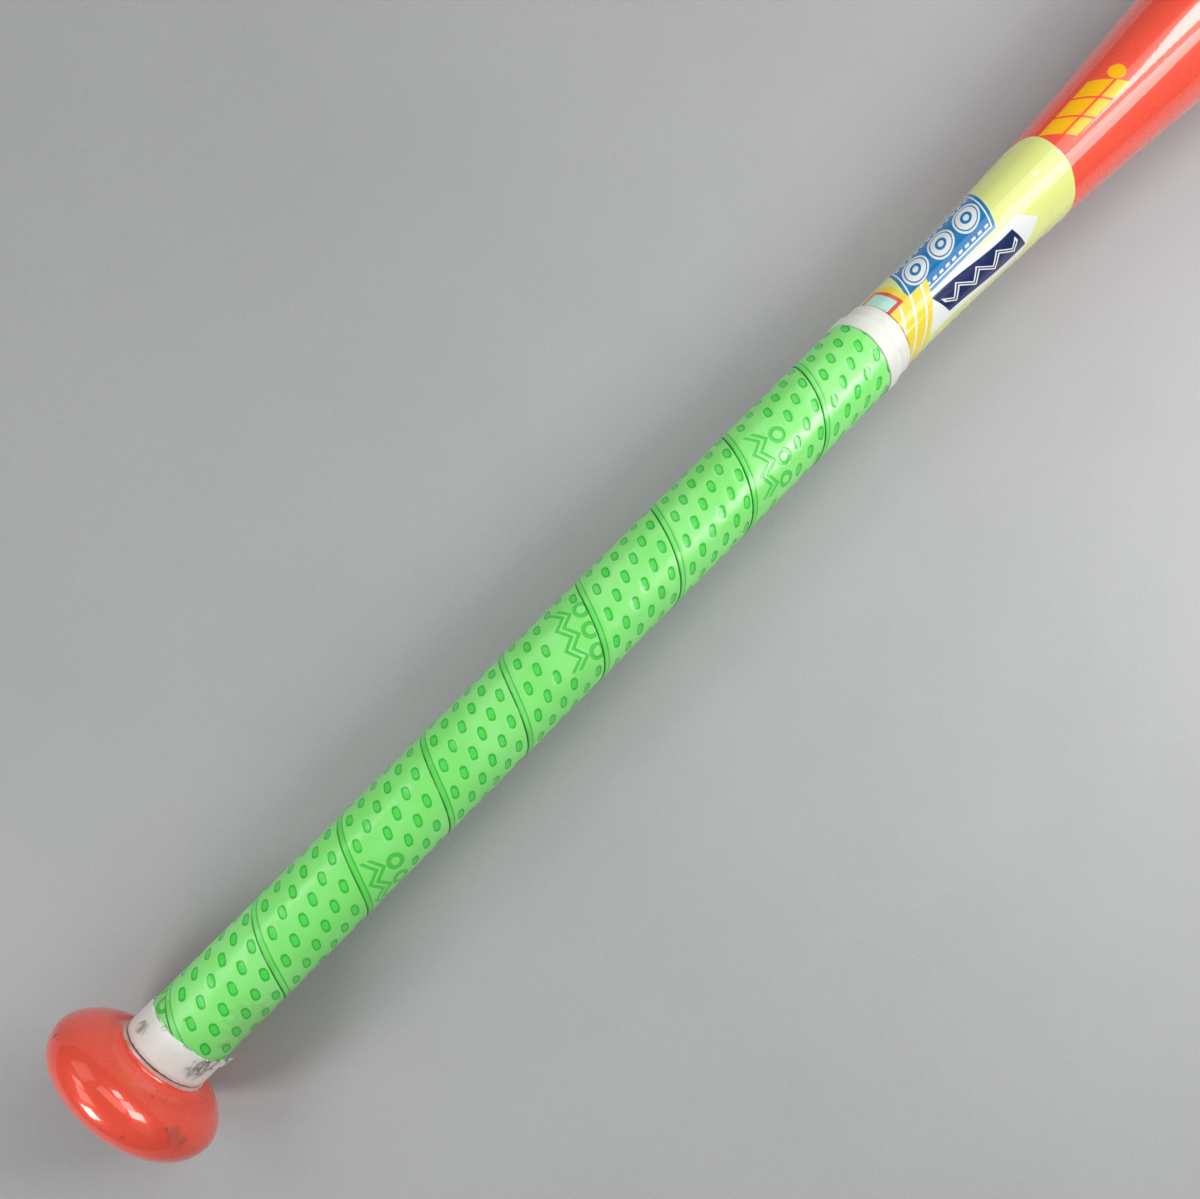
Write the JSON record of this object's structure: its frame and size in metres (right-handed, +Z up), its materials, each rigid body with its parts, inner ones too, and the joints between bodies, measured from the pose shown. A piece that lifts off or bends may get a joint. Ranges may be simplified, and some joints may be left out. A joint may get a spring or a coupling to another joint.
{
  "type": "softball bat",
  "caption": "Hollow one-piece metal softball bat with a round flared knob, a spirally wound cushioned grip between two tape bands, a tapering shaft and a long barrel closed by an end cap.",
  "frame": {"origin": "centre of the knob's flat end face, on the bat's axis", "axes": "+X along the bat's axis, from the knob to the end cap; +Z up, away from the surface that the bat lies on; +Y completes a right-handed frame"},
  "size_m": [0.8636, 0.0572, 0.0572],
  "materials": {
    "shell": "gloss",
    "knob": "gloss",
    "rubber": "matte",
    "foam": "matte",
    "grip": "satin",
    "white_tape": "satin",
    "film": "gloss",
    "cap": "matte",
    "adhesive": "satin"
  },
  "bodies": {
    "root": {"bat_shell": "shell", "knob": "knob", "knob_plug": "rubber", "handle_foam_plug": "foam", "grip_tape": "grip", "knob_tape": "white_tape", "top_tape": "white_tape", "decal_film": "film", "end_cap": "cap", "cap_bond_ring": "adhesive"}
  },
  "joints": []
}
